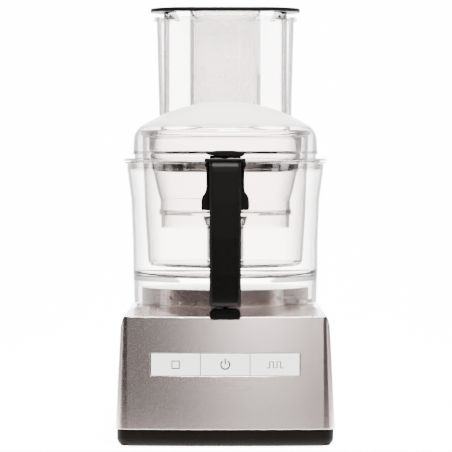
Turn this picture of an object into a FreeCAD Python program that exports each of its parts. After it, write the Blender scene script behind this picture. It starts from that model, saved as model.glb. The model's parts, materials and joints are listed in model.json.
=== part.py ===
# Countertop food processor with three nested bowls, built as separate sub-parts.
# Units are millimetres.  +Z is up, the front of the machine faces -Y, and the
# drive shaft stands on the Z axis.  Z = 0 is the table under the rubber feet.
import FreeCAD, Part
import math
import os
import re
import Sketcher

V = FreeCAD.Vector
doc = FreeCAD.newDocument("food_processor")

# ---------------------------------------------------------------- sizes
SIZES = {
    # motor base
    "base_width": 210.0,
    "base_front": 130.0,
    "base_bow": 5.4,
    "base_bow_radius": 1500.0,
    "base_back": 135.5,
    "base_corner": 12.0,
    "base_lean": 3.0,
    "base_wall": 2.8,
    "skirt_z": 18.4,
    "skirt_inset": 1.5,
    "deck_z": 132.3,
    "deck_drop": 7.0,
    "shoulder": 15.0,
    "boss_radius": 83.5,
    "boss_top": 148.5,
    "foot_radius": 8.8,
    "foot_x": 78.0,
    "foot_y": 98.0,
    "tray_floor": 3.0,
    "post_x": 95.0,
    "post_front": 121.0,
    "post_back": 126.5,
    # keys on the front panel
    "key_width": 46.9,
    "key_height": 20.6,
    "key_z": 80.0,
    "key_gap": 0.5,
    # motor and shaft
    "shaft_radius": 4.95,
    "shaft_top": 264.0,
    "bearing_radius": 11.0,
    "rotor_radius": 33.0,
    "stator_bore": 33.6,
    "stator_half": 50.0,
    "stator_low": 45.0,
    "stator_high": 95.0,
    "motor_post": 40.0,
    # clearances between moving bodies
    "gap": 0.3,
    "running_fit": 0.05,
    # main bowl
    "bowl_radius": 92.7,
    "bowl_rim_z": 272.6,
    "bowl_floor": 159.6,
    "bowl_wall": 2.5,
    "column_radius": 10.5,
    "column_bore": 7.8,
    "column_top": 205.0,
    # middle and small bowl
    "midi_radius": 78.3,
    "midi_floor": 171.5,
    "midi_column": 18.8,
    "mini_radius": 65.2,
    "mini_floor": 222.0,
    "nest_wall": 2.1,
    "nest_rim_z": 303.0,
    # lid and chute
    "lid_flange": 102.0,
    "dome_radius": 92.5,
    "dome_top": 332.7,
    "lid_wall": 2.5,
    "chute_half": 70.0,
    "chute_front": -8.0,
    "chute_back": 75.0,
    "chute_corner": 33.0,
    "chute_top": 418.6,
    "chute_wall": 2.7,
    # pushers
    "pusher_half": 62.8,
    "pusher_front": -14.8,
    "pusher_back": 68.2,
    "pusher_top": 427.7,
    "tube_half": 33.6,
    "tube_depth": 21.0,
    "tube_y": 41.5,
    "small_clear": 0.6,
    # handle
    "handle_half": 15.0,
    "handle_low": 134.7,
    "handle_high": 272.3,
    "handle_back": 116.0,
    "rod_y": 121.5,
    "rod_half": 2.5,
    # blade
    "hub_radius": 17.5,
    "hub_bore": 13.8,
    "blade_reach": 60.0,
}

sheet = doc.addObject("Spreadsheet::Sheet", "Sizes")
for row, (alias, number) in enumerate(SIZES.items(), start=1):
    sheet.set("A%d" % row, alias)
    sheet.set("B%d" % row, repr(number))
    sheet.setAlias("B%d" % row, alias)
doc.recompute()


# ---------------------------------------------------------------- helpers
def formula(text):
    """Turn a formula over size names into one that reads the sheet."""
    def named(match):
        word = match.group(0)
        return "Sizes." + word if word in SIZES else word
    return re.sub(r"[A-Za-z_]\w*", named, str(text))


def value(text):
    """Number that a formula over size names comes to."""
    return float(sheet.evalExpression(formula(text)))


def new_body(label):
    """Sub-part that is made from sketched features."""
    body = doc.addObject("PartDesign::Body", label)
    body.Label = label
    body.AllowCompound = True
    return body


def new_sketch(body, plane, offset="0"):
    """Sketch on one of the body's own origin planes, moved along its normal."""
    sketch = body.newObject("Sketcher::SketchObject", body.Name + "_sketch")
    roles = [f for f in body.Origin.OriginFeatures if f.Role == plane + "_Plane"]
    sketch.AttachmentSupport = (roles[0], "")
    sketch.MapMode = "FlatFace"
    sketch.setExpression("AttachmentOffset.Base.z", formula(offset))
    return sketch


def bind(sketch, index, kind, text):
    """Hold one coordinate of a point at a formula's value."""
    geo, pos = index
    number = value(text)
    if abs(number) < 1e-9:
        axis = -2 if kind == "DistanceX" else -1
        sketch.addConstraint(Sketcher.Constraint("PointOnObject", geo, pos, axis))
        return
    k = sketch.addConstraint(Sketcher.Constraint(kind, -1, 1, geo, pos, number))
    sketch.setExpression("Constraints[%d]" % k, formula(text))


rounded = []


def outline(sketch, points):
    """Closed outline; each point is (x, y) or (x, y, corner radius)."""
    count = len(points)
    corner = [V(value(p[0]), value(p[1]), 0) for p in points]
    radius = [value(p[2]) if len(p) > 2 else 0.0 for p in points]
    leave = []
    arrive = []
    middle = []
    for i in range(count):
        back = (corner[i - 1] - corner[i]).normalize()
        on = (corner[(i + 1) % count] - corner[i]).normalize()
        if radius[i] <= 0:
            leave.append(corner[i])
            arrive.append(corner[i])
            middle.append(None)
            continue
        half = back.getAngle(on) / 2
        run = radius[i] / math.tan(half)
        arrive.append(corner[i] + back * run)
        leave.append(corner[i] + on * run)
        inward = (back + on).normalize()
        middle.append(corner[i] + inward * (radius[i] / math.sin(half)))
    lines = []
    for i in range(count):
        line = Part.LineSegment(leave[i], arrive[(i + 1) % count])
        lines.append(sketch.addGeometry(line))
    for i in range(count):
        before = lines[i - 1]
        after = lines[i]
        if middle[i] is None:
            sketch.addConstraint(Sketcher.Constraint("Coincident", before, 2, after, 1))
            bind(sketch, (after, 1), "DistanceX", points[i][0])
            bind(sketch, (after, 1), "DistanceY", points[i][1])
            continue
        enter = arrive[i] - middle[i]
        depart = leave[i] - middle[i]
        start = math.atan2(enter.y, enter.x)
        end = math.atan2(depart.y, depart.x)
        first, last = 1, 2
        if (end - start) % (2 * math.pi) > math.pi:
            start, end = end, start
            first, last = 2, 1
        end = start + (end - start) % (2 * math.pi)
        circle = Part.Circle(middle[i], V(0, 0, 1), radius[i])
        arc = sketch.addGeometry(Part.ArcOfCircle(circle, start, end))
        rounded.append((sketch, arc))
        sketch.addConstraint(Sketcher.Constraint("Tangent", before, 2, arc, first))
        sketch.addConstraint(Sketcher.Constraint("Tangent", arc, last, after, 1))
        k = sketch.addConstraint(Sketcher.Constraint("Radius", arc, radius[i]))
        sketch.setExpression("Constraints[%d]" % k, formula(points[i][2]))
        apex = sketch.addGeometry(Part.Point(corner[i]), True)
        sketch.addConstraint(Sketcher.Constraint("PointOnObject", apex, 1, before))
        sketch.addConstraint(Sketcher.Constraint("PointOnObject", apex, 1, after))
        bind(sketch, (apex, 1), "DistanceX", points[i][0])
        bind(sketch, (apex, 1), "DistanceY", points[i][1])


def circles(sketch, centres, radius):
    """Circles of one radius round a list of centres."""
    for x, y in centres:
        middle = V(value(x), value(y), 0)
        geo = sketch.addGeometry(Part.Circle(middle, V(0, 0, 1), value(radius)))
        bind(sketch, (geo, 3), "DistanceX", x)
        bind(sketch, (geo, 3), "DistanceY", y)
        k = sketch.addConstraint(Sketcher.Constraint("Radius", geo, value(radius)))
        sketch.setExpression("Constraints[%d]" % k, formula(radius))


def extrude(body, cut, plane, low, high, draw, taper="0"):
    """Add or cut a drawn region between two positions along the plane's axis."""
    start = "-(%s)" % high if plane == "XZ" else low
    sketch = new_sketch(body, plane, start)
    draw(sketch)
    kind = "PartDesign::Pocket" if cut else "PartDesign::Pad"
    feature = body.newObject(kind, body.Name + ("_cut" if cut else "_pad"))
    feature.Profile = sketch
    feature.setExpression("Length", formula("(%s) - (%s)" % (high, low)))
    feature.Reversed = cut
    if taper != "0":
        feature.setExpression("TaperAngle", formula(taper))
    sketch.Visibility = False
    body.Tip = feature
    return feature


def slab(body, plane, low, high, points, cut=False, taper="0"):
    """Prism over an outline."""
    return extrude(body, cut, plane, low, high, lambda s: outline(s, points), taper)


def discs(body, centres, radius, low, high, cut=False, plane="XY"):
    """Cylinders of one radius at a list of centres."""
    return extrude(body, cut, plane, low, high, lambda s: circles(s, centres, radius))


def turned(body, points, cut=False):
    """Ring or disc turned about the shaft axis from an (r, z) outline."""
    sketch = new_sketch(body, "XZ")
    outline(sketch, points)
    kind = "PartDesign::Groove" if cut else "PartDesign::Revolution"
    feature = body.newObject(kind, body.Name + ("_groove" if cut else "_turned"))
    feature.Profile = sketch
    feature.ReferenceAxis = (sketch, ["V_Axis"])
    feature.Angle = 360
    sketch.Visibility = False
    body.Tip = feature
    return feature


def ring(body, inner, outer, low, high):
    """Plain ring about the shaft axis."""
    return turned(body, [(inner, low), (outer, low), (outer, high), (inner, high)])


def box(x_low, y_low, x_high, y_high, corner=None):
    """Rectangle outline, with rounded corners where a radius is given."""
    points = [(x_low, y_low), (x_high, y_low), (x_high, y_high), (x_low, y_high)]
    return points if corner is None else [p + (corner,) for p in points]


def block(body, x, y, z, cut=False, corner=None):
    """Box given as low and high formulas on each axis."""
    return slab(body, "XY", z[0], z[1], box(x[0], y[0], x[1], y[1], corner), cut)


def spun(body, feature, count):
    """Repeat a feature evenly round the shaft axis."""
    pattern = body.newObject("PartDesign::PolarPattern", body.Name + "_pattern")
    pattern.Originals = [feature]
    axes = [f for f in body.Origin.OriginFeatures if f.Role == "Z_Axis"]
    pattern.Axis = (axes[0], [""])
    pattern.Angle = 360
    pattern.Occurrences = count
    body.Tip = pattern
    return pattern


def eased(body, size, wanted, kind="Fillet"):
    """Fillet or chamfer the edges of the tip that a test picks out."""
    doc.recompute()
    tip = body.Tip
    names = []
    for number, edge in enumerate(tip.Shape.Edges, start=1):
        if wanted(edge):
            names.append("Edge%d" % number)
    feature = body.newObject("PartDesign::" + kind, body.Name + "_eased")
    feature.Base = (tip, names)
    feature.setExpression("Radius" if kind == "Fillet" else "Size", formula(size))
    body.Tip = feature
    return feature


def corners(x, y):
    """The four places (+-x, +-y)."""
    return [(x, y), ("-(%s)" % x, y), (x, "-(%s)" % y), ("-(%s)" % x, "-(%s)" % y)]


# ---------------------------------------------------------------- motor base
SCREW_POSTS = [("post_x", "-post_front"), ("-post_x", "-post_front"),
               ("post_x", "post_back"), ("-post_x", "post_back")]
BOARD_POSTS = [("-76", "98"), ("76", "98"), ("-76", "64"), ("76", "64")]
BRACKET_PINS = [("0", "243"), ("0", "257")]
MOTOR_POSTS = corners("motor_post", "motor_post")


def base_plan(inset, corner):
    """Plan outline of the base: bowed front, straight sides and back."""
    side = "base_width / 2 - (%s)" % inset
    front = "-base_front + (%s)" % inset
    apex = "-base_front - base_bow + (%s)" % inset
    back = "base_back - (%s)" % inset
    return [("-(%s)" % side, front, corner), ("0", apex, "base_bow_radius"),
            (side, front, corner), (side, back, corner), ("-(%s)" % side, back, corner)]


def base_housing():
    body = new_body("base_housing")
    slab(body, "XY", "skirt_z", "deck_z", base_plan("0", "base_corner"), taper="-base_lean")
    # shoulders along both sides of the deck
    top = "base_width / 2 - (deck_z - skirt_z) * tan(base_lean)"
    for sign in ("", "-"):
        curve = []
        for step in range(10):
            turn = 10 * step
            curve.append(("%s(%s - shoulder + shoulder * sin(%d))" % (sign, top, turn),
                          "deck_z - shoulder + shoulder * cos(%d)" % turn))
        outer = "%s(%s + 6)" % (sign, top)
        slab(body, "XZ", "-base_front - 20", "base_back + 20",
             curve + [(outer, "deck_z - shoulder - 4"), (outer, "deck_z + 1"),
                      (curve[0][0], "deck_z + 1")], cut=True)
    # deck falls away towards the front edge
    slab(body, "YZ", "-base_width", "base_width",
         [("-boss_radius", "deck_z"), ("-boss_radius", "deck_z + 5"),
          ("-base_front - 20", "deck_z + 5"),
          ("-base_front - 20", "deck_z - deck_drop * (base_front + 20 - boss_radius) / 42")],
         cut=True)
    discs(body, [("0", "0")], "boss_radius", "deck_z - 6", "boss_top")
    # hollow inside, in two steps under the shoulders and one under the boss
    slab(body, "XY", "skirt_z", "deck_z - shoulder",
         base_plan("base_wall", "base_corner - base_wall"), cut=True, taper="-base_lean")
    room = "base_width / 2 - base_wall - shoulder - 2"
    slab(body, "XY", "deck_z - shoulder - 1", "deck_z - deck_drop - base_wall - 1.5",
         box("-(%s)" % room, "-base_front + 22", room, "base_back - 22", "8"), cut=True)
    discs(body, [("0", "0")], "boss_radius - base_wall - 0.4", "deck_z - 20", "boss_top - base_wall",
          cut=True)
    discs(body, [("0", "0")], "9", "boss_top - 10", "boss_top + 5", cut=True)
    # screw posts run up the four corners
    discs(body, SCREW_POSTS, "6", "skirt_z", "skirt_z + 32")
    discs(body, SCREW_POSTS, "1.5", "skirt_z - 1", "skirt_z + 20", cut=True)
    # posts that hold the control board
    # the panel leans back, so the lower posts start further forward
    discs(body, BOARD_POSTS[:2], "3", "-base_front + 5", "-106", plane="XZ")
    discs(body, BOARD_POSTS[2:], "3", "-base_front + 2.8", "-106", plane="XZ")
    discs(body, BOARD_POSTS, "1.1", "-114", "-105", cut=True, plane="XZ")
    # window for the keys, and the seat of the interlock block
    block(body, ("-1.5 * key_width - key_gap * 2", "1.5 * key_width + key_gap * 2"),
          ("-base_front - 20", "-base_front + 22"),
          ("key_z - key_height / 2 - key_gap", "key_z + key_height / 2 + key_gap"), cut=True)
    block(body, ("-14.3", "14.3"), ("-base_front - 20", "-105"), ("122.8", "deck_z + 5"), cut=True)
    discs(body, [("0", "-rod_y")], "2.6", "deck_z - 20", "deck_z", cut=True)
    # cord hole and cooling slots in the back wall
    discs(body, [("60", "40")], "6", "base_back - 30", "base_back + 20", cut=True, plane="XZ")
    for step in range(9):
        x = "%d" % (-60 + 11 * step)
        block(body, ("%s - 2.5" % x, "%s + 2.5" % x), ("base_back - 25", "base_back + 20"),
              ("70", "105"), cut=True)
    # bayonet lugs on the boss
    lug = slab(body, "XY", "138", "142",
               [("(boss_radius - 2) * cos(38)", "(boss_radius - 2) * sin(38)"),
                ("(boss_radius + 3) * cos(38)", "(boss_radius + 3) * sin(38)"),
                ("(boss_radius + 3.2) * cos(45)", "(boss_radius + 3.2) * sin(45)"),
                ("(boss_radius + 3) * cos(52)", "(boss_radius + 3) * sin(52)"),
                ("(boss_radius - 2) * cos(52)", "(boss_radius - 2) * sin(52)")])
    spun(body, lug, 4)
    return body


def base_tray():
    body = new_body("base_tray")
    slab(body, "XY", "1.5", "skirt_z", base_plan("skirt_inset", "base_corner"))
    eased(body, "8", lambda e: e.BoundBox.ZMax < 1.6)
    slab(body, "XY", "1.5 + tray_floor", "skirt_z + 1",
         base_plan("skirt_inset + base_wall", "base_corner - base_wall"), cut=True)
    discs(body, SCREW_POSTS, "5", "2.5", "skirt_z")
    discs(body, MOTOR_POSTS, "7", "2.5", "skirt_z")
    discs(body, SCREW_POSTS, "3.5", "0", "7", cut=True)
    discs(body, SCREW_POSTS, "1.6", "0", "skirt_z + 1", cut=True)
    discs(body, MOTOR_POSTS, "4", "0", "8", cut=True)
    discs(body, MOTOR_POSTS, "2.1", "0", "skirt_z + 1", cut=True)
    discs(body, corners("foot_x", "foot_y"), "foot_radius + 0.2", "0", "3.5", cut=True)
    for step in range(7):
        y = "%d" % (-24 + 8 * step)
        block(body, ("-25", "25"), ("%s - 2" % y, "%s + 2" % y), ("0", "10"), cut=True)
    return body


def base_small_parts():
    feet = new_body("rubber_feet")
    discs(feet, corners("foot_x", "foot_y"), "foot_radius", "0", "3.5")
    screws = new_body("tray_screws")
    discs(screws, SCREW_POSTS, "3.2", "4.8", "7")
    discs(screws, SCREW_POSTS, "1.45", "7", "30")
    seal = new_body("shaft_seal")
    turned(seal, [("5.4", "boss_top - 2.5"), ("9", "boss_top - 2.5"), ("9", "boss_top"),
                  ("12", "boss_top"), ("12", "boss_top + 1.2"), ("8", "boss_top + 3"),
                  ("5.4", "boss_top + 3")])
    gland = new_body("cord_gland")
    discs(gland, [("60", "40")], "6", "base_back - 14", "base_back + 1", plane="XZ")
    discs(gland, [("60", "40")], "8", "base_back - 0.6", "base_back + 4", plane="XZ")
    discs(gland, [("60", "40")], "5", "base_back", "base_back + 7", plane="XZ")
    discs(gland, [("60", "40")], "3.4", "base_back - 20", "base_back + 20", cut=True, plane="XZ")
    interlock = new_body("interlock_block")
    slab(interlock, "XZ", "-130.5", "-105",
         box("-14.25", "122.8", "14.25", "132.5", "3.5"))
    discs(interlock, [("0", "-rod_y")], "2.6", "122", "134", cut=True)
    return [feet, screws, seal, gland, interlock]


def key(label, slot):
    """One push key; its face leans with the front panel."""
    body = new_body(label)
    low = "key_z - key_height / 2"
    high = "key_z + key_height / 2"
    face = "-base_front - 3.4 + (%s - skirt_z) * tan(base_lean)"
    left = "(%d - 0.5) * key_width + key_gap / 2 + %d * key_gap / 2" % (slot, slot)
    right = "(%d + 0.5) * key_width - key_gap / 2 + %d * key_gap / 2" % (slot, slot)
    slab(body, "YZ", left, right,
         [(face % low, low, "0.8"), ("%s + 7" % (face % low), low),
          ("%s + 7" % (face % high), high), (face % high, high, "0.8")])
    middle = "%d * key_width" % slot
    discs(body, [(middle, "key_z")], "3", "-base_front + 2", "-113.2", plane="XZ")
    return body


def front_electronics():
    board = new_body("control_board")
    block(board, ("-80", "80"), ("-106", "-104.4"), ("60", "104"))
    switches = new_body("tact_switches")
    for slot in (-1, 0, 1):
        middle = "%d * key_width" % slot
        block(switches, ("%s - 3" % middle, "%s + 3" % middle), ("-109.5", "-106"), ("77", "83"))
        discs(switches, [(middle, "key_z")], "1.7", "-111.2", "-109.5", plane="XZ")
    discs(board, BOARD_POSTS, "1.1", "-107", "-103", cut=True, plane="XZ")
    screws = new_body("board_screws")
    discs(screws, BOARD_POSTS, "1.05", "-113", "-104.4", plane="XZ")
    discs(screws, BOARD_POSTS, "2.2", "-104.4", "-102.9", plane="XZ")
    relay = new_body("board_relay")
    block(relay, ("20", "39"), ("-104.4", "-89"), ("64", "79"))
    block(relay, ("-30", "-14"), ("-104.4", "-92"), ("84", "96"))
    capacitor = new_body("run_capacitor")
    discs(capacitor, [("-78", "-40")], "14", "8", "68")
    discs(capacitor, [("-78", "-40")], "9", "68", "71")
    return [board, switches, screws, relay, capacitor]


# ---------------------------------------------------------------- motor
def motor_parts():
    core = new_body("motor_stator")
    slab(core, "XY", "stator_low", "stator_high",
         box("-stator_half", "-stator_half", "stator_half", "stator_half", "12"))
    discs(core, [("0", "0")], "stator_bore", "stator_low - 1", "stator_high + 1", cut=True)
    coils = new_body("motor_windings")
    for low, high in (("stator_low - 13", "stator_low"), ("stator_high", "stator_high + 12")):
        turned(coils, [("stator_bore + 1", low, "3"), ("47", low, "3"),
                       ("47", high), ("stator_bore + 1", high)])
    upper = new_body("motor_upper_bell")
    slab(upper, "XY", "stator_high + 13", "stator_high + 17",
         box("-46", "-46", "46", "46", "12"))
    discs(upper, MOTOR_POSTS, "5", "stator_high", "stator_high + 15")
    discs(upper, [("0", "0")], "15", "stator_high + 14", "stator_high + 26")
    discs(upper, [("0", "0")], "bearing_radius", "stator_high + 16", "stator_high + 23", cut=True)
    discs(upper, [("0", "0")], "8", "stator_high", "stator_high + 40", cut=True)
    discs(upper, corners("24", "24"), "6", "stator_high", "stator_high + 40", cut=True)
    lower = new_body("motor_lower_bell")
    slab(lower, "XY", "22.5", "26.5", box("-46", "-46", "46", "46", "12"))
    discs(lower, MOTOR_POSTS, "5", "24", "stator_low")
    discs(lower, [("0", "0")], "15", "22.5", "31")
    discs(lower, [("0", "0")], "bearing_radius", "24", "32", cut=True)
    discs(lower, corners("24", "24"), "6", "20", "30", cut=True)
    discs(lower, MOTOR_POSTS, "1.9", "20", "40", cut=True)
    bearings = new_body("motor_bearings")
    ring(bearings, "shaft_radius + running_fit", "bearing_radius", "24", "31")
    ring(bearings, "shaft_radius + running_fit", "bearing_radius", "stator_high + 16",
         "stator_high + 23")
    mounts = new_body("motor_mounts")
    discs(mounts, MOTOR_POSTS, "7.5", "skirt_z", "22.5")
    discs(mounts, MOTOR_POSTS, "2.1", "skirt_z - 1", "23", cut=True)
    bolts = new_body("motor_bolts")
    discs(bolts, MOTOR_POSTS, "3.6", "5.5", "8")
    discs(bolts, MOTOR_POSTS, "1.9", "8", "38")
    rotor = new_body("motor_rotor")
    ring(rotor, "shaft_radius", "rotor_radius", "stator_low + 1", "stator_high - 1")
    ring(rotor, "shaft_radius", "27", "stator_low - 6", "stator_low + 1")
    fan = new_body("cooling_fan")
    ring(fan, "shaft_radius", "31", "33", "34.4")
    ring(fan, "shaft_radius", "10", "34.4", "38.5")
    blade = slab(fan, "XY", "34.4", "38", box("12", "-0.6", "30", "0.6"))
    spun(fan, blade, 9)
    shaft = new_body("drive_shaft")
    turned(shaft, [("0", "24.3"), ("shaft_radius - 0.5", "24.3"), ("shaft_radius", "24.8"),
                   ("shaft_radius", "shaft_top - 13"), ("3", "shaft_top - 13"),
                   ("3", "shaft_top - 1"), ("2", "shaft_top"), ("0", "shaft_top")])
    block(shaft, ("-shaft_radius + 0.1", "shaft_radius - 0.1"), ("-0.9", "0.9"),
          ("shaft_top - 14", "shaft_top - 2"))
    collar = new_body("shaft_collar")
    turned(collar, [("shaft_radius", "125"), ("9", "125"), ("9", "132"), ("7", "134"),
                    ("shaft_radius", "134")])
    return [core, coils, upper, lower, bearings, mounts, bolts, rotor, fan, shaft, collar]


# ---------------------------------------------------------------- interlock
def interlock_parts():
    plunger = new_body("switch_plunger")
    discs(plunger, [("0", "-rod_y")], "2.2", "108", "132.3")
    switch = new_body("interlock_switch")
    block(switch, ("-10", "10"), ("-rod_y + 0.5", "-rod_y + 6.5"), ("92", "104"))
    discs(switch, [("0", "-rod_y + 2")], "1.3", "104", "107.7")
    block(switch, ("-12", "12"), ("-rod_y + 6.5", "-rod_y + 8.5"), ("90", "deck_z - shoulder"))
    rod = new_body("interlock_rod")
    block(rod, ("-rod_half", "rod_half"), ("-rod_y - 2", "-rod_y + 2"), ("132.9", "277"))
    block(rod, ("-rod_half - 2", "rod_half + 2"), ("-rod_y - 2", "-rod_y + 2"), ("200", "203"))
    return [plunger, switch, rod]


# ---------------------------------------------------------------- bowls
def main_bowl():
    body = new_body("main_bowl")
    low = "bowl_floor - 4.5"
    turned(body, [
        ("column_bore", low), ("bowl_radius - bowl_wall - 1.7", low),
        ("bowl_radius - bowl_wall - 1.7", "deck_z + gap + 0.2"),
        ("bowl_radius - 0.9", "deck_z + gap + 0.2"), ("bowl_radius - 0.4", low),
        ("bowl_radius", "bowl_floor + 5"), ("bowl_radius + 0.3", "bowl_floor + 35"),
        ("bowl_radius + 1.8", "bowl_rim_z - 38"), ("bowl_radius + 5.3", "bowl_rim_z - 11"),
        ("bowl_radius + 5.8", "bowl_rim_z - 5"), ("bowl_radius + 5.8", "bowl_rim_z - 1.8"),
        ("lid_flange - 1", "bowl_rim_z - 1.6", "0.5"), ("lid_flange - 1", "bowl_rim_z", "0.5"),
        ("bowl_radius + 3.6", "bowl_rim_z"), ("bowl_radius + 3.3", "bowl_rim_z - 10"),
        ("bowl_radius + 1.8 - bowl_wall", "bowl_rim_z - 38"),
        ("bowl_radius + 0.3 - bowl_wall", "bowl_floor + 35"),
        ("bowl_radius - bowl_wall", "bowl_floor", "6"), ("column_radius + 2.2", "bowl_floor", "3"),
        ("column_radius", "column_top"), ("column_bore", "column_top")])
    # lugs inside the skirt, set beside the boss lugs
    reach = "bowl_radius - bowl_wall - 1.2"
    tip = "boss_radius + 0.8"
    lug = slab(body, "XY", "133.5", "137",
               [("(%s) * cos(60)" % tip, "(%s) * sin(60)" % tip),
                ("(%s) * cos(60)" % reach, "(%s) * sin(60)" % reach),
                ("(%s) * cos(71)" % reach, "(%s) * sin(71)" % reach),
                ("(%s) * cos(71)" % tip, "(%s) * sin(71)" % tip)])
    spun(body, lug, 4)
    # blind holes for the pins that carry the handle
    discs(body, BRACKET_PINS, "1.5", "-112", "-bowl_radius - 1.6", cut=True, plane="XZ")
    return body


def midi_bowl():
    body = new_body("midi_bowl")
    r = "midi_radius"
    w = "nest_wall"
    ledge = "column_top + gap"
    turned(body, [
        ("midi_column - 3", "midi_floor - 2.5"), (r + " - 1", "midi_floor - 2.5", "6"),
        (r + " + 2", "219"), (r + " + 3.5", "259"), (r + " + 5", "284.6"),
        (r + " + 5", "nest_rim_z - 5"), (r + " + 7", "nest_rim_z - 5", "0.6"),
        (r + " + 7", "nest_rim_z", "2.4"), (r + " + 2.2", "nest_rim_z", "1"),
        (r + " + 2.2", "nest_rim_z - 5.8"), (r + " + 5 - " + w, "nest_rim_z - 7"),
        (r + " + 5 - " + w, "284.6"), (r + " + 3.5 - " + w, "259"), (r + " + 2 - " + w, "219"),
        (r + " - 1 - " + w, "midi_floor", "4"), ("midi_column", "midi_floor", "2"),
        ("midi_column", ledge + " + 3", "1.5"), ("6.5", ledge + " + 3"), ("6.5", ledge),
        ("midi_column - 3", ledge)])
    return body


def mini_bowl():
    body = new_body("mini_bowl")
    r = "mini_radius"
    w = "nest_wall"
    seat = "column_top + 3 + 2 * gap"
    turned(body, [
        ("9.5", seat), ("19.5", seat), ("23", "mini_floor - 2.3"),
        (r + " - 3", "mini_floor - 2.3"), (r + " - 3", "206.9"), (r + " - 0.7", "206.9"),
        (r + " - 0.7", "mini_floor - 2.3"), (r + " + 1.3", "mini_floor - 2.3"),
        (r + " + 1.3", "mini_floor + 3.6"), (r, "mini_floor + 3.6"), (r, "234"),
        (r + " + 1.8", "239"), (r + " + 8", "266.8"), (r + " + 11.3", "284.6"),
        (r + " + 11.3", "nest_rim_z - 4.5"), (r + " + 14.6", "nest_rim_z - 4.5"),
        (r + " + 14.6", "nest_rim_z + 0.6", "2.2"), ("9.5", "nest_rim_z + 0.6")])
    turned(body, [
        ("13", "mini_floor"), (r + " - " + w, "mini_floor", "3"), (r + " - " + w, "234"),
        (r + " + 1.8 - " + w, "239"), (r + " + 8 - " + w, "266.8"),
        (r + " + 11.3 - " + w, "284.6"), (r + " + 8.3", "nest_rim_z - 3"),
        (r + " + 8.3", "nest_rim_z + 2"), ("9", "nest_rim_z + 2"), ("9", "248"), ("12", "248")],
        cut=True)
    return body


def blade_parts():
    hub = new_body("blade_hub")
    turned(hub, [
        ("hub_bore", "mini_floor + 2"), ("hub_radius + 1.5", "mini_floor + 2", "0.8"),
        ("hub_radius", "mini_floor + 5"), ("hub_radius", "250"), ("hub_radius - 6", "275", "3"),
        ("0", "275"), ("0", "shaft_top + 2"), ("shaft_radius + 0.55", "shaft_top + 2"),
        ("shaft_radius + 0.55", "250.5"), ("hub_bore", "250.5")])
    for side in ("", "-"):
        block(hub, ("-0.8", "0.8"),
              tuple(sorted(("%s3.5" % side, "%s(shaft_radius + 1.5)" % side), key=value)),
              ("252", "shaft_top + 3"))
    steel = new_body("blade_knives")
    for side, low in (("-", "228"), ("", "242")):
        points = [("-8", "hub_radius - 3"), ("10", "hub_radius - 3"), ("12", "34"), ("9", "50"),
                  ("2", "blade_reach"), ("-6", "52"), ("-11", "36")]
        points = [tuple([p[0], side + "(%s)" % p[1]] + list(p[2:])) for p in points]
        slab(steel, "XY", low, "%s + 1.3" % low, points)
    discs(steel, [("0", "0")], "hub_radius", "220", "250", cut=True)
    return [hub, steel]


def column_bush():
    body = new_body("column_bush")
    ring(body, "shaft_radius + 0.5", "column_bore - gap", "bowl_floor - 3", "column_top - 1")
    return body


# ---------------------------------------------------------------- lid
def chute_plan(inset, corner="chute_corner"):
    """Plan outline of the chute, drawn in by an inset."""
    half = "chute_half - (%s)" % inset
    return box("-(%s)" % half, "-chute_front + (%s)" % inset, half, "chute_back - (%s)" % inset,
               "%s - (%s)" % (corner, inset))


def lid():
    body = new_body("lid")
    r = "dome_radius"
    w = "lid_wall"
    low = "bowl_rim_z + 0.6"
    # domed top, hollowed from below
    turned(body, [("0", low), (r + " - 1.2", low), (r + " - 1.2", "280"), (r + " + 0.5", "280"),
                  (r, "283"), (r + " - 1.2", "dome_top - 28.2", "17"), ("40.4", "dome_top", "148"),
                  ("0", "dome_top")])
    turned(body, [("0", low + " - 1"), (r + " - 4", low + " - 1"),
                  (r + " - 1.2 - " + w, "dome_top - 29.5", "14.5"),
                  ("39.7", "dome_top - " + w, "145"), ("0", "dome_top - " + w)], cut=True)
    # flange that rests on the bowl, and the ring that centres it
    turned(body, [("dome_radius + 0.6", "bowl_rim_z - 7"), ("dome_radius + 2.7", "bowl_rim_z - 7"),
                  ("dome_radius + 2.9", low), ("lid_flange", low, "0.8"),
                  ("lid_flange", low + " + 2.8", "0.8"), (r + " - 2", low + " + 2.8"),
                  (r + " - 2", low), ("dome_radius + 0.6", low + " - 1")])
    # feed chute on the back half, with a rolled lip
    slab(body, "XY", "306", "chute_top - 4", chute_plan("3"), taper="1.5")
    slab(body, "XY", "chute_top - 4.6", "chute_top", chute_plan("-3"))
    slab(body, "XY", "300", "chute_top + 1", chute_plan("3 + chute_wall"), cut=True, taper="1.5")
    return body


def lid_parts():
    catch = new_body("lid_catch")
    slab(catch, "XZ", "-131", "-97.5",
         [("-15.5", "278.9"), ("0", "277.4"), ("15.5", "277.4"), ("18.1", "279"),
          ("18.1", "282.2"), ("8", "283.3"), ("-8", "283.3"), ("-18.1", "282.2"),
          ("-18.1", "280")])
    block(catch, ("-15", "15"), ("-101.8", "-dome_radius - 0.6"), ("bowl_rim_z + 3.4", "278.5"))
    button = new_body("lid_bearing")
    turned(button, [("0", "dome_top - 8"), ("7", "dome_top - 8", "1"),
                    ("9", "dome_top - lid_wall - 0.3"), ("0", "dome_top - lid_wall - 0.3")])
    return [catch, button]


# ---------------------------------------------------------------- pushers
def tube_plan(extra):
    """Plan outline of the small feed tube."""
    half = "tube_half + (%s)" % extra
    deep = "tube_depth + (%s)" % extra
    return box("-(%s)" % half, "tube_y - (%s)" % deep, half, "tube_y + %s" % deep,
               "tube_depth - 1 + (%s)" % extra)


def pusher_plan(inset):
    """Plan outline of the large pusher."""
    half = "pusher_half - (%s)" % inset
    return box("-(%s)" % half, "-pusher_front + (%s)" % inset, half,
               "pusher_back - (%s)" % inset, "chute_corner - 7 - (%s)" % inset)


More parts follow.
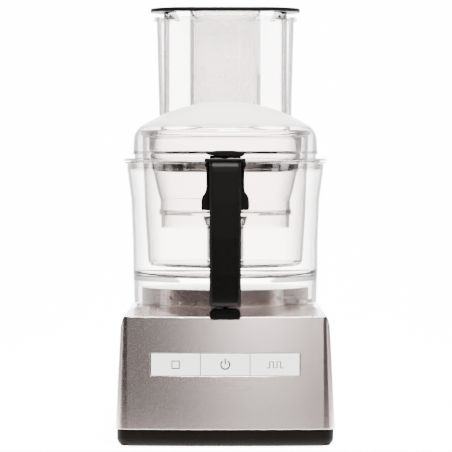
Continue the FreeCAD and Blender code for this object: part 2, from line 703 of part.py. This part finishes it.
def pusher_parts():
    rim = new_body("pusher_rim")
    slab(rim, "XY", "pusher_top - 3.8", "pusher_top", chute_plan("-6"))
    slab(rim, "XY", "pusher_top - 5", "pusher_top + 1", pusher_plan("0"), cut=True)
    shell = new_body("large_pusher")
    slab(shell, "XY", "312", "pusher_top - 0.6", pusher_plan("0"))
    slab(shell, "XY", "315", "pusher_top - 12", pusher_plan("2.5"), cut=True)
    slab(shell, "XY", "pusher_top - 13", "pusher_top + 1", pusher_plan("12"), cut=True, taper="40")
    slab(shell, "XY", "312", "pusher_top - 11", tube_plan("2.6"))
    slab(shell, "XY", "300", "pusher_top + 1", tube_plan("0"), cut=True)
    small = new_body("small_pusher")
    slab(small, "XY", "314", "pusher_top - 4", tube_plan("-small_clear"))
    slab(small, "XY", "317", "pusher_top", tube_plan("-small_clear - 2"), cut=True)
    return [rim, shell, small]


# ---------------------------------------------------------------- handle
def handle_parts():
    grip = new_body("handle_grip")
    slab(grip, "YZ", "-handle_half", "handle_half",
         [("-handle_back - 3", "handle_low"), ("-131", "handle_low"),
          ("-134.6", "handle_low + 1.4"), ("-137.2", "handle_low + 4.6"),
          ("-138.6", "handle_low + 9"), ("-141", "165"), ("-142.5", "200"), ("-142", "235"),
          ("-140.2", "handle_high - 9"), ("-139.2", "handle_high - 3.6"),
          ("-137", "handle_high - 1"), ("-134", "handle_high"),
          ("-handle_back - 3", "handle_high")])
    eased(grip, "2.5", lambda e: e.BoundBox.YMax < -130.9 and e.BoundBox.XLength < 0.01,
          "Chamfer")
    block(grip, ("-rod_half - 3", "rod_half + 3"), ("-rod_y - 3", "-handle_back"),
          ("handle_low + 4", "handle_high - 3"), cut=True)
    block(grip, ("-rod_half - 0.5", "rod_half + 0.5"), ("-rod_y - 2.6", "-rod_y + 2.6"),
          ("handle_low - 1", "handle_high + 1"), cut=True)
    screws = [("-9.5", "160"), ("9.5", "160"), ("-9.5", "215"), ("9.5", "215")]
    discs(grip, screws, "1.3", "-132", "-handle_back", cut=True, plane="XZ")
    cover = new_body("handle_cover")
    block(cover, ("-handle_half", "handle_half"), ("-handle_back - 3", "-handle_back"),
          ("handle_low", "handle_high"))
    discs(cover, screws, "2.6", "-handle_back - 1.6", "-handle_back + 2", cut=True, plane="XZ")
    discs(cover, screws, "1.3", "-handle_back - 5", "-handle_back", cut=True, plane="XZ")
    fixings = new_body("handle_screws")
    discs(fixings, screws, "2.5", "-handle_back - 1.6", "-handle_back", plane="XZ")
    discs(fixings, screws, "1.25", "-131", "-handle_back - 1.6", plane="XZ")
    bracket = new_body("handle_bracket")
    slab(bracket, "XZ", "-handle_back", "-90",
         [("-22", "226.5"), ("22", "226.5"), ("22.9", "227.6"), ("22.9", "236"),
          ("22.2", "239"), ("20.6", "241.6"), ("19.2", "243.8"), ("18.4", "246.2"),
          ("18.2", "249"), ("18.2", "266.6"), ("19.6", "268"), ("19.6", "handle_high"),
          ("-19.6", "handle_high"), ("-19.6", "268"), ("-18.2", "266.6"), ("-18.2", "249"),
          ("-18.4", "246.2"), ("-19.2", "243.8"), ("-20.6", "241.6"), ("-22.2", "239"),
          ("-22.9", "236"), ("-22.9", "227.6")])
    block(bracket, ("-19.6", "19.6"), ("-131.5", "-100"), ("handle_high", "275.8"), corner="3")
    discs(bracket, [("0", "0")], "lid_flange - 1", "220", "280", cut=True)
    discs(bracket, [("0", "0")], "lid_flange + 0.6", "bowl_rim_z + 0.3", "280", cut=True)
    block(bracket, ("-9", "9"), ("-112", "-bowl_radius - 5.6"), ("238", "262"))
    block(bracket, ("-rod_half - 0.5", "rod_half + 0.5"), ("-rod_y - 2.6", "-rod_y + 2.6"),
          ("handle_high - 1", "280"), cut=True)
    discs(bracket, BRACKET_PINS, "1.5", "-114", "-95", cut=True, plane="XZ")
    pins = new_body("bracket_pins")
    discs(pins, BRACKET_PINS, "1.5", "-114", "-bowl_radius - 1.6", plane="XZ")
    return [grip, cover, fixings, bracket, pins]


# ---------------------------------------------------------------- build
def main():
    parts = [base_housing(), base_tray()] + base_small_parts()
    parts += [key("stop_key", -1), key("auto_key", 0), key("pulse_key", 1)]
    parts += front_electronics() + motor_parts() + interlock_parts()
    parts += [main_bowl(), column_bush(), midi_bowl(), mini_bowl()] + blade_parts()
    parts += [lid()] + lid_parts() + pusher_parts() + handle_parts()
    doc.recompute()
    for item in doc.Objects:
        if "Invalid" in item.State or "Error" in item.State:
            raise RuntimeError("%s did not compute: %s" % (item.Name, item.State))
    for sketch, arc in rounded:
        bend = sketch.Geometry[arc]
        if abs(bend.LastParameter - bend.FirstParameter) > math.pi:
            raise RuntimeError("%s has a corner turned inside out" % sketch.Name)
    os.makedirs("parts", exist_ok=True)
    for part in parts:
        shape = part.Shape
        if shape.isNull() or not shape.isValid() or not shape.Solids:
            raise RuntimeError("%s has no valid solid" % part.Label)
        shape.exportStep("parts/%s.step" % part.Label)
        print("%-20s %d solids %9.0f mm3" % (part.Label, len(shape.Solids), shape.Volume))


main()
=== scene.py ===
"""Looks of the food processor: materials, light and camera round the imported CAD."""
import json
import math

import bpy
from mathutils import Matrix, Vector


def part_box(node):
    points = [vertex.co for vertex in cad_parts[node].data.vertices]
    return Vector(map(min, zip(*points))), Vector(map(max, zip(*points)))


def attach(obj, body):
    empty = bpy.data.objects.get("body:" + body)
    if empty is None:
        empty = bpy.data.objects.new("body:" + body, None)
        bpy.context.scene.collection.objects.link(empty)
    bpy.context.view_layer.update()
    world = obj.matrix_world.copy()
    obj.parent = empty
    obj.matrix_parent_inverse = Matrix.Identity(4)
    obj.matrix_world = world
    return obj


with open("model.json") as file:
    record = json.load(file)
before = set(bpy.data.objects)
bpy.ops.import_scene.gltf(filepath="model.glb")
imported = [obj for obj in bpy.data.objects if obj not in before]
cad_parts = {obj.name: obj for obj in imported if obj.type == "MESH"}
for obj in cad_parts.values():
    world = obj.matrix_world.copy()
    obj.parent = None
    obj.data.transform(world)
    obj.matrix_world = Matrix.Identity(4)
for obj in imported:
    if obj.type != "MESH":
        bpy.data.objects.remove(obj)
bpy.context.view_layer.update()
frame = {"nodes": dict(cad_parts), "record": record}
NODES = frame["nodes"]

# lengths in metres, angles in degrees
PANEL_LEAN = 3.0          # front panel and keys lean back by this angle
MARK_DEPTHS = (-0.00005, 0.00006)   # back and front of a printed mark, from the key's face
MARK_STROKE = 0.0014
PULSE_STROKE = 0.0011
PLASTIC_IOR = 1.45
# painted shade: the clear plastic's tint darkens at a slant to stand in for the dark edges of its walls;
# a little of it is real absorption along the longer path
SLANT_SHADE = 0.22        # clear plastic keeps this share of its tint at a full slant
SLANT = (0.4, 0.92)       # and darkens over this part of the turn from square to edge on
BACKLIT_SHARE = 0.6       # part of the painted dome reflection's light that comes from behind it
DOME_PAINTED_SHEEN = 0.85           # share of white painted on the lid's dome as a painted reflection
DOME_SHEEN_Z = (0.3055, 0.3085)
DOME_SHEEN_Y = (-0.01, 0.012)
LEVEL_RADIUS = 0.06625    # printed level line on the smallest bowl
LEVEL_Z = 0.2365
LEVEL_HEIGHT = 0.0005
LEVEL_ARC = (222, 252)
GLOW = 12.0               # strength of the bright backdrop
GLOW_Y = (-0.17, -0.14)   # the glow starts just in front of the object
GLOW_X = (0.41, 0.47)     # and fades out to both sides and upwards
GLOW_Z = (1.0, 1.1)
CARD_Y = (-0.30, -0.18)   # the floor further forward is dark
SWEEP_RADIUS = 0.9        # curve from floor to backdrop
STAGE_HALF = 4.0
CAMERA_DISTANCE = 2.4
CAMERA_X = 0.0007
CAMERA_Z = 0.2743
CAMERA_DROP = 0.027546    # slope of the line of sight
CAMERA_LENS = 190.8       # millimetres, on a sensor 36 mm wide
WORLD_LIGHT = 0.05


# ---------------------------------------------------------------- node helpers
def new_material(name):
    """Material with a principled shader, and its node tree."""
    mat = bpy.data.materials.new(name)
    mat.use_nodes = True
    tree = mat.node_tree
    return mat, tree, tree.nodes["Principled BSDF"]


def add(tree, kind, **inputs):
    """Add a node and set its sockets by name."""
    node = tree.nodes.new(kind)
    for key, value in inputs.items():
        node.inputs[key.replace("_", " ")].default_value = value
    return node


def coordinates(tree):
    """Object coordinates, which are the frame's own metres."""
    return tree.nodes.new("ShaderNodeTexCoord").outputs["Object"]


def noise(tree, scale, detail=3.0, stretch=None):
    """Noise value, stretched along an axis where asked."""
    node = add(tree, "ShaderNodeTexNoise", Scale=scale, Detail=detail)
    source = coordinates(tree)
    if stretch:
        mapping = add(tree, "ShaderNodeMapping", Scale=stretch)
        tree.links.new(source, mapping.inputs["Vector"])
        source = mapping.outputs["Vector"]
    tree.links.new(source, node.inputs["Vector"])
    return node.outputs[0]


def remap(tree, value, start, end, low=0.0, high=1.0):
    """Value that runs from low to high while the input runs from start to end."""
    node = add(tree, "ShaderNodeMapRange", From_Min=start, From_Max=end, To_Min=low, To_Max=high)
    tree.links.new(value, node.inputs["Value"])
    return node.outputs["Result"]


def span(tree, value, low, high):
    """Map the middle half of a noise value onto low..high."""
    return remap(tree, value, 0.25, 0.75, low, high)


def math_node(tree, operation, *values):
    """Result of a math node on one or two values."""
    node = tree.nodes.new("ShaderNodeMath")
    node.operation = operation
    for index, value in enumerate(values):
        tree.links.new(value, node.inputs[index])
    return node.outputs[0]


def split_coordinates(tree):
    """Sockets X, Y and Z of the object coordinates."""
    split = tree.nodes.new("ShaderNodeSeparateXYZ")
    tree.links.new(coordinates(tree), split.inputs[0])
    return split.outputs


def mixed(tree, share, first, second):
    """Mix of two shaders; the share is a number or a socket."""
    mix = tree.nodes.new("ShaderNodeMixShader")
    if isinstance(share, float):
        mix.inputs[0].default_value = share
    else:
        tree.links.new(share, mix.inputs[0])
    tree.links.new(first, mix.inputs[1])
    tree.links.new(second, mix.inputs[2])
    return mix.outputs[0]


def passing(tree, kind, colour):
    """Transparent or translucent shader of one colour."""
    node = tree.nodes.new(kind)
    node.inputs["Color"].default_value = (*colour, 1)
    return node.outputs[0]


def two_tone(tree, value, dark, light, start=0.3, end=0.7):
    """Colour that runs from the first to the second with a value."""
    ramp = tree.nodes.new("ShaderNodeValToRGB")
    ramp.color_ramp.elements[0].position = start
    ramp.color_ramp.elements[0].color = (*dark, 1)
    ramp.color_ramp.elements[1].position = end
    ramp.color_ramp.elements[1].color = (*light, 1)
    tree.links.new(value, ramp.inputs["Fac"])
    return ramp.outputs["Color"]


def bump(tree, shader, value, depth, strength=0.5, edge=0.0):
    """Surface relief from a value, over softly rounded edges."""
    node = add(tree, "ShaderNodeBump", Strength=strength, Distance=depth)
    tree.links.new(value, node.inputs["Height"])
    if edge > 0:
        round_off = add(tree, "ShaderNodeBevel", Radius=edge)
        tree.links.new(round_off.outputs["Normal"], node.inputs["Normal"])
    tree.links.new(node.outputs["Normal"], shader.inputs["Normal"])


def solid(name, colour, rough=0.4, metal=0.0, grain=900.0, depth=0.00004, spread=0.06,
          stretch=None, coat=0.0, edge=0.0004, gloss=0.5):
    """Opaque finish with a fine moulded or machined grain."""
    mat, tree, shader = new_material(name)
    value = noise(tree, grain, 3.0, stretch)
    broad = noise(tree, 14.0, 4.0)
    dark = tuple(c * (1 - spread) for c in colour)
    light = tuple(min(1, c * (1 + spread)) for c in colour)
    tree.links.new(two_tone(tree, broad, dark, light), shader.inputs["Base Color"])
    tree.links.new(span(tree, value, rough * 0.85, rough * 1.15), shader.inputs["Roughness"])
    shader.inputs["Metallic"].default_value = metal
    shader.inputs["Coat Weight"].default_value = coat
    shader.inputs["Coat Roughness"].default_value = 0.15
    shader.inputs["Specular IOR Level"].default_value = gloss
    bump(tree, shader, value, depth, edge=edge)
    return mat


def clear(name, tint, rough=0.03, sheen=0.0):
    """Clear moulded plastic, darker at a slant by painted shade; light passes it without hard shadows.
    """
    mat, tree, shader = new_material(name)
    # painted shade: the tint runs darker towards edges seen at a slant
    slant = add(tree, "ShaderNodeLayerWeight", Blend=0.5)
    painted_edge_shade = tuple(SLANT_SHADE * c for c in tint)
    tree.links.new(two_tone(tree, slant.outputs["Facing"], tint, painted_edge_shade, *SLANT),
                   shader.inputs["Base Color"])
    shader.inputs["IOR"].default_value = PLASTIC_IOR
    shader.inputs["Transmission Weight"].default_value = 1.0
    faint = noise(tree, 60.0, 4.0)
    tree.links.new(span(tree, faint, rough * 0.6, rough * 1.6), shader.inputs["Roughness"])
    bump(tree, shader, noise(tree, 22.0, 2.0), 0.0003, 0.05)
    surface = shader.outputs["BSDF"]
    # painted reflection: white shading laid over the front of the clear lid's dome
    if sheen > 0:
        surface = mixed(tree, sheen_share(tree, sheen), surface, painted_sheen(tree))
    path = tree.nodes.new("ShaderNodeLightPath")
    shadow = passing(tree, "ShaderNodeBsdfTransparent", [0.55 + 0.45 * c for c in tint])
    surface = mixed(tree, path.outputs["Is Shadow Ray"], surface, shadow)
    tree.links.new(surface, tree.nodes["Material Output"].inputs["Surface"])
    return mat


def painted_sheen(tree):
    """Painted reflection: white plastic shading that also glows from the light behind it."""
    front = add(tree, "ShaderNodeBsdfPrincipled", Roughness=0.35)
    front.inputs["Base Color"].default_value = (0.95, 0.91, 0.895, 1)
    behind = passing(tree, "ShaderNodeBsdfTranslucent", (0.97, 0.93, 0.915))
    return mixed(tree, BACKLIT_SHARE, front.outputs["BSDF"], behind)


def sheen_share(tree, sheen):
    """Share of the painted reflection: full on the dome's front half, none below it or behind."""
    place = split_coordinates(tree)
    rise = remap(tree, place["Z"], *DOME_SHEEN_Z, 0.0, sheen)
    front = remap(tree, place["Y"], *DOME_SHEEN_Y, 1.0, 0.0)
    return math_node(tree, "MULTIPLY", rise, front)


def hazy(name, tint, haze):
    """Lightly clouded plastic: mostly see-through, with a soft scattering share."""
    mat, tree, shader = new_material(name)
    shader.inputs["Base Color"].default_value = (0.9, 0.88, 0.87, 1)
    shader.inputs["Roughness"].default_value = 0.3
    value = noise(tree, 40.0, 3.0)
    through = passing(tree, "ShaderNodeBsdfTransparent", tint)
    scatter = passing(tree, "ShaderNodeBsdfTranslucent", (0.95, 0.93, 0.92))
    cloud = mixed(tree, 0.5, shader.outputs["BSDF"], scatter)
    surface = mixed(tree, span(tree, value, haze * 0.9, haze * 1.1), through, cloud)
    tree.links.new(surface, tree.nodes["Material Output"].inputs["Surface"])
    return mat


MATERIALS = {
    "housing": solid("satin_silver", (0.47, 0.395, 0.380), 0.25, 1.0, 1800, 0.000002, 0.01, edge=0.0012),
    "tray": solid("black_tray", (0.0024, 0.0018, 0.0015), 0.5, 0, 1200, 0.00005, 0.15,
                  edge=0.002, gloss=0.02),
    "rubber": solid("rubber", (0.02, 0.02, 0.02), 0.75, 0, 700, 0.0001, 0.2),
    "steel": solid("machined_steel", (0.56, 0.56, 0.57), 0.28, 1, 300, 0.00003, 0.06, (1, 1, 30)),
    "screw": solid("zinc_screw", (0.60, 0.60, 0.60), 0.3, 1, 900, 0.00003, 0.08),
    "key": solid("white_key", (0.93, 0.90, 0.88), 0.38, 0, 1500, 0.00002, 0.008, coat=0.1),
    "black": solid("satin_black", (0.0018, 0.0013, 0.0011), 0.45, 0, 1300, 0.00004, 0.15,
                   edge=0.0022, gloss=0.1),
    "board": solid("solder_mask", (0.02, 0.16, 0.06), 0.35, 0, 260, 0.00003, 0.25, coat=0.4),
    "switch": solid("switch_black", (0.03, 0.03, 0.03), 0.45, 0, 1000, 0.00003, 0.1),
    "relay": solid("relay_blue", (0.03, 0.07, 0.30), 0.3, 0, 1000, 0.00002, 0.1),
    "capacitor": solid("drawn_can", (0.72, 0.72, 0.70), 0.33, 1, 500, 0.00003, 0.05, (1, 1, 12)),
    "core": solid("stacked_core", (0.16, 0.16, 0.17), 0.5, 0.8, 260, 0.0003, 0.15, (0.02, 0.02, 6)),
    "copper": solid("enamelled_wire", (0.62, 0.25, 0.10), 0.3, 0.7, 420, 0.0005, 0.25, (1, 1, 4)),
    "alloy": solid("cast_alloy", (0.55, 0.55, 0.56), 0.5, 0.9, 500, 0.0001, 0.1),
    "fan": solid("ivory_fan", (0.72, 0.69, 0.62), 0.45, 0, 900, 0.00003, 0.05),
    "clear": clear("clear_bowl", (0.93, 0.905, 0.895), 0.015),
    # the clear lid carries a painted reflection on its dome's front
    "clear_lid": clear("clear_lid", (0.95, 0.93, 0.922), 0.015, DOME_PAINTED_SHEEN),
    "clear_pusher": clear("clear_pusher", (0.985, 0.975, 0.97), 0.015),
    "grey_pusher": hazy("grey_pusher", (0.97, 0.96, 0.95), 0.25),
    "bush": solid("acetal", (0.70, 0.68, 0.63), 0.4, 0, 900, 0.00003, 0.05),
    "hub": solid("blade_hub_grey", (0.30, 0.28, 0.27), 0.4, 0, 900, 0.00003, 0.08),
    "knife": solid("ground_steel", (0.66, 0.66, 0.67), 0.22, 1, 260, 0.00003, 0.05, (30, 1, 1)),
}
for part in frame["record"]["subparts"]:
    mesh = NODES[part["node"]].data
    mesh.materials.clear()
    mesh.materials.append(MATERIALS[part["material_slot"]])


# ---------------------------------------------------------------- small details
def piece(name, points, faces, material, body, smooth=False):
    """Mesh piece that rides on a body."""
    mesh = bpy.data.meshes.new(name)
    mesh.from_pydata(points, [], faces)
    mesh.update()
    for polygon in mesh.polygons:
        polygon.use_smooth = smooth
    mesh.materials.append(material)
    thing = bpy.data.objects.new(name, mesh)
    bpy.context.collection.objects.link(thing)
    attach(thing, body)
    return thing


def strip(path, width, closed):
    """Inner and outer points of a flat stroke along a path in two dimensions."""
    count = len(path)
    pairs = []
    for i, (x, y) in enumerate(path):
        ax, ay = path[i - 1] if closed or i > 0 else path[i]
        bx, by = path[(i + 1) % count] if closed or i < count - 1 else path[i]
        dx, dy = bx - ax, by - ay
        size = math.hypot(dx, dy)
        nx, ny = -dy / size * width / 2, dx / size * width / 2
        pairs.append(((x + nx, y + ny), (x - nx, y - ny)))
    return pairs


def key_mark(name, node, body, path, closed, width=MARK_STROKE):
    """Printed mark on a key's face: a thin stroke that follows its lean."""
    low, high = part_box(node)
    middle = (low[0] + high[0]) / 2
    slope = math.tan(math.radians(PANEL_LEAN))
    pairs = strip(path, width, closed)
    points = []
    for lift in MARK_DEPTHS:
        for pair in pairs:
            for x, z in pair:
                face = low[1] + (z + (high[2] - low[2]) / 2) * slope
                points.append((middle + x, face - lift, (low[2] + high[2]) / 2 + z))
    count = len(pairs)
    faces = []
    for i in range(count if closed else count - 1):
        a, b = 2 * i, 2 * ((i + 1) % count)
        top = 2 * count
        faces.append((top + a, top + a + 1, top + b + 1, top + b))
        faces.append((a, top + a, top + b, b))
        faces.append((a + 1, b + 1, top + b + 1, top + a + 1))
    return piece(name, points, faces, MATERIALS["black"], body)


def arc_path(radius, start, end, steps=28):
    """Points on an arc in two dimensions, angles in degrees."""
    turns = [math.radians(start + (end - start) * i / steps) for i in range(steps + 1)]
    return [(radius * math.cos(t), radius * math.sin(t)) for t in turns]


square = [(-0.0035, -0.0035), (0.0035, -0.0035), (0.0035, 0.0035), (-0.0035, 0.0035)]
pulse = [(-0.008, -0.003), (-0.005, -0.003), (-0.005, 0.003), (-0.0015, 0.003), (-0.0015, -0.003),
         (0.002, -0.003), (0.002, 0.003), (0.0055, 0.003), (0.0055, -0.003), (0.008, -0.003)]
key_mark("stop_mark", "stop_key", "stop", square, True)
key_mark("auto_ring", "auto_key", "auto", arc_path(0.0042, 125, 415), False)
key_mark("auto_bar", "auto_key", "auto", [(0, 0.0005), (0, 0.0056)], False)
key_mark("pulse_mark", "pulse_key", "pulse", pulse, False, PULSE_STROKE)


def band(name, radius, z, height, start, end, body, slot):
    """Thin printed line round part of a bowl's wall."""
    steps = 40
    points = []
    for i in range(steps + 1):
        turn = math.radians(start + (end - start) * i / steps)
        for rise in (-height / 2, height / 2):
            points.append((radius * math.cos(turn), radius * math.sin(turn), z + rise))
    faces = [(2 * i, 2 * i + 2, 2 * i + 3, 2 * i + 1) for i in range(steps)]
    return piece(name, points, faces, MATERIALS[slot], body, True)


band("mini_level_line", LEVEL_RADIUS, LEVEL_Z, LEVEL_HEIGHT, *LEVEL_ARC, "mini", "switch")


# ---------------------------------------------------------------- studio
def light(name, place, aim, width, height, power):
    """Rectangular softbox that points at a place."""
    data = bpy.data.lights.new(name, "AREA")
    data.shape = "RECTANGLE"
    data.size = width
    data.size_y = height
    data.energy = power
    lamp = bpy.data.objects.new(name, data)
    lamp.location = place
    lamp.rotation_euler = (Vector(aim) - Vector(place)).to_track_quat("-Z", "Y").to_euler()
    bpy.context.collection.objects.link(lamp)


def backdrop_material():
    """Pale surface, bright behind the object and dark in front of it."""
    mat, tree, shader = new_material("pale_floor")
    shader.inputs["Roughness"].default_value = 0.7
    shader.inputs["Emission Color"].default_value = (1, 1, 1, 1)
    place = split_coordinates(tree)
    card = remap(tree, place["Y"], *CARD_Y)
    shade = two_tone(tree, card, (0.01, 0.01, 0.01), (0.85, 0.85, 0.85), 0, 1)
    tree.links.new(shade, shader.inputs["Base Color"])
    ahead = remap(tree, place["Y"], *GLOW_Y, 0.0, GLOW)
    aside = remap(tree, math_node(tree, "ABSOLUTE", place["X"]), *GLOW_X, 1.0, 0.0)
    above = remap(tree, place["Z"], *GLOW_Z, 1.0, 0.0)
    panel = math_node(tree, "MULTIPLY", math_node(tree, "MULTIPLY", ahead, aside), above)
    tree.links.new(panel, shader.inputs["Emission Strength"])
    # only the front shows, so the backdrop hides nothing from a view behind it
    side = tree.nodes.new("ShaderNodeNewGeometry")
    unseen = tree.nodes.new("ShaderNodeBsdfTransparent")
    surface = mixed(tree, side.outputs["Backfacing"], shader.outputs["BSDF"], unseen.outputs[0])
    tree.links.new(surface, tree.nodes["Material Output"].inputs["Surface"])
    return mat


def backdrop():
    """Floor that sweeps up into a wall behind the object."""
    steps = 24
    profile = [(-STAGE_HALF, 0.0), (SWEEP_RADIUS, 0.0)]
    for step in range(1, steps + 1):
        angle = math.pi / 2 * step / steps
        profile.append((SWEEP_RADIUS * (1 + math.sin(angle)), SWEEP_RADIUS * (1 - math.cos(angle))))
    profile.append((2 * SWEEP_RADIUS, STAGE_HALF))
    points = []
    for y, z in profile:
        points += [(-STAGE_HALF, y, z), (STAGE_HALF, y, z)]
    quads = [(2 * i, 2 * i + 1, 2 * i + 3, 2 * i + 2) for i in range(len(profile) - 1)]
    mesh = bpy.data.meshes.new("floor")
    mesh.from_pydata(points, [], quads)
    for polygon in mesh.polygons:
        polygon.use_smooth = True
    mesh.materials.append(backdrop_material())
    floor = bpy.data.objects.new("floor", mesh)
    bpy.context.collection.objects.link(floor)
    return floor


floor = backdrop()

light("key_light", (0.22, -3.0, 0.46), (0, 0, 0.12), 0.3, 0.3, 11)
light("top_light", (0.1, -1.0, 2.0), (0, 0, 0.15), 0.8, 0.5, 230)
light("left_light", (-1.9, -0.2, 0.7), (0, 0, 0.2), 0.4, 1.4, 6)
light("right_light", (1.9, -0.6, 0.7), (0, 0, 0.2), 0.4, 1.4, 9)
world = bpy.data.worlds.new("studio")
bpy.context.scene.world = world
world.use_nodes = True
world.node_tree.nodes["Background"].inputs["Color"].default_value = (1, 1, 1, 1)
world.node_tree.nodes["Background"].inputs["Strength"].default_value = WORLD_LIGHT

camera_data = bpy.data.cameras.new("camera")
camera_data.lens = CAMERA_LENS
camera_data.sensor_width = 36.0
camera_data.clip_end = 50.0
camera = bpy.data.objects.new("camera", camera_data)
camera.location = (CAMERA_X, -CAMERA_DISTANCE, CAMERA_Z)
target = Vector((CAMERA_X, 0.0, CAMERA_Z - CAMERA_DISTANCE * CAMERA_DROP))
camera.rotation_euler = (target - camera.location).to_track_quat("-Z", "Y").to_euler()
bpy.context.collection.objects.link(camera)
bpy.context.scene.camera = camera
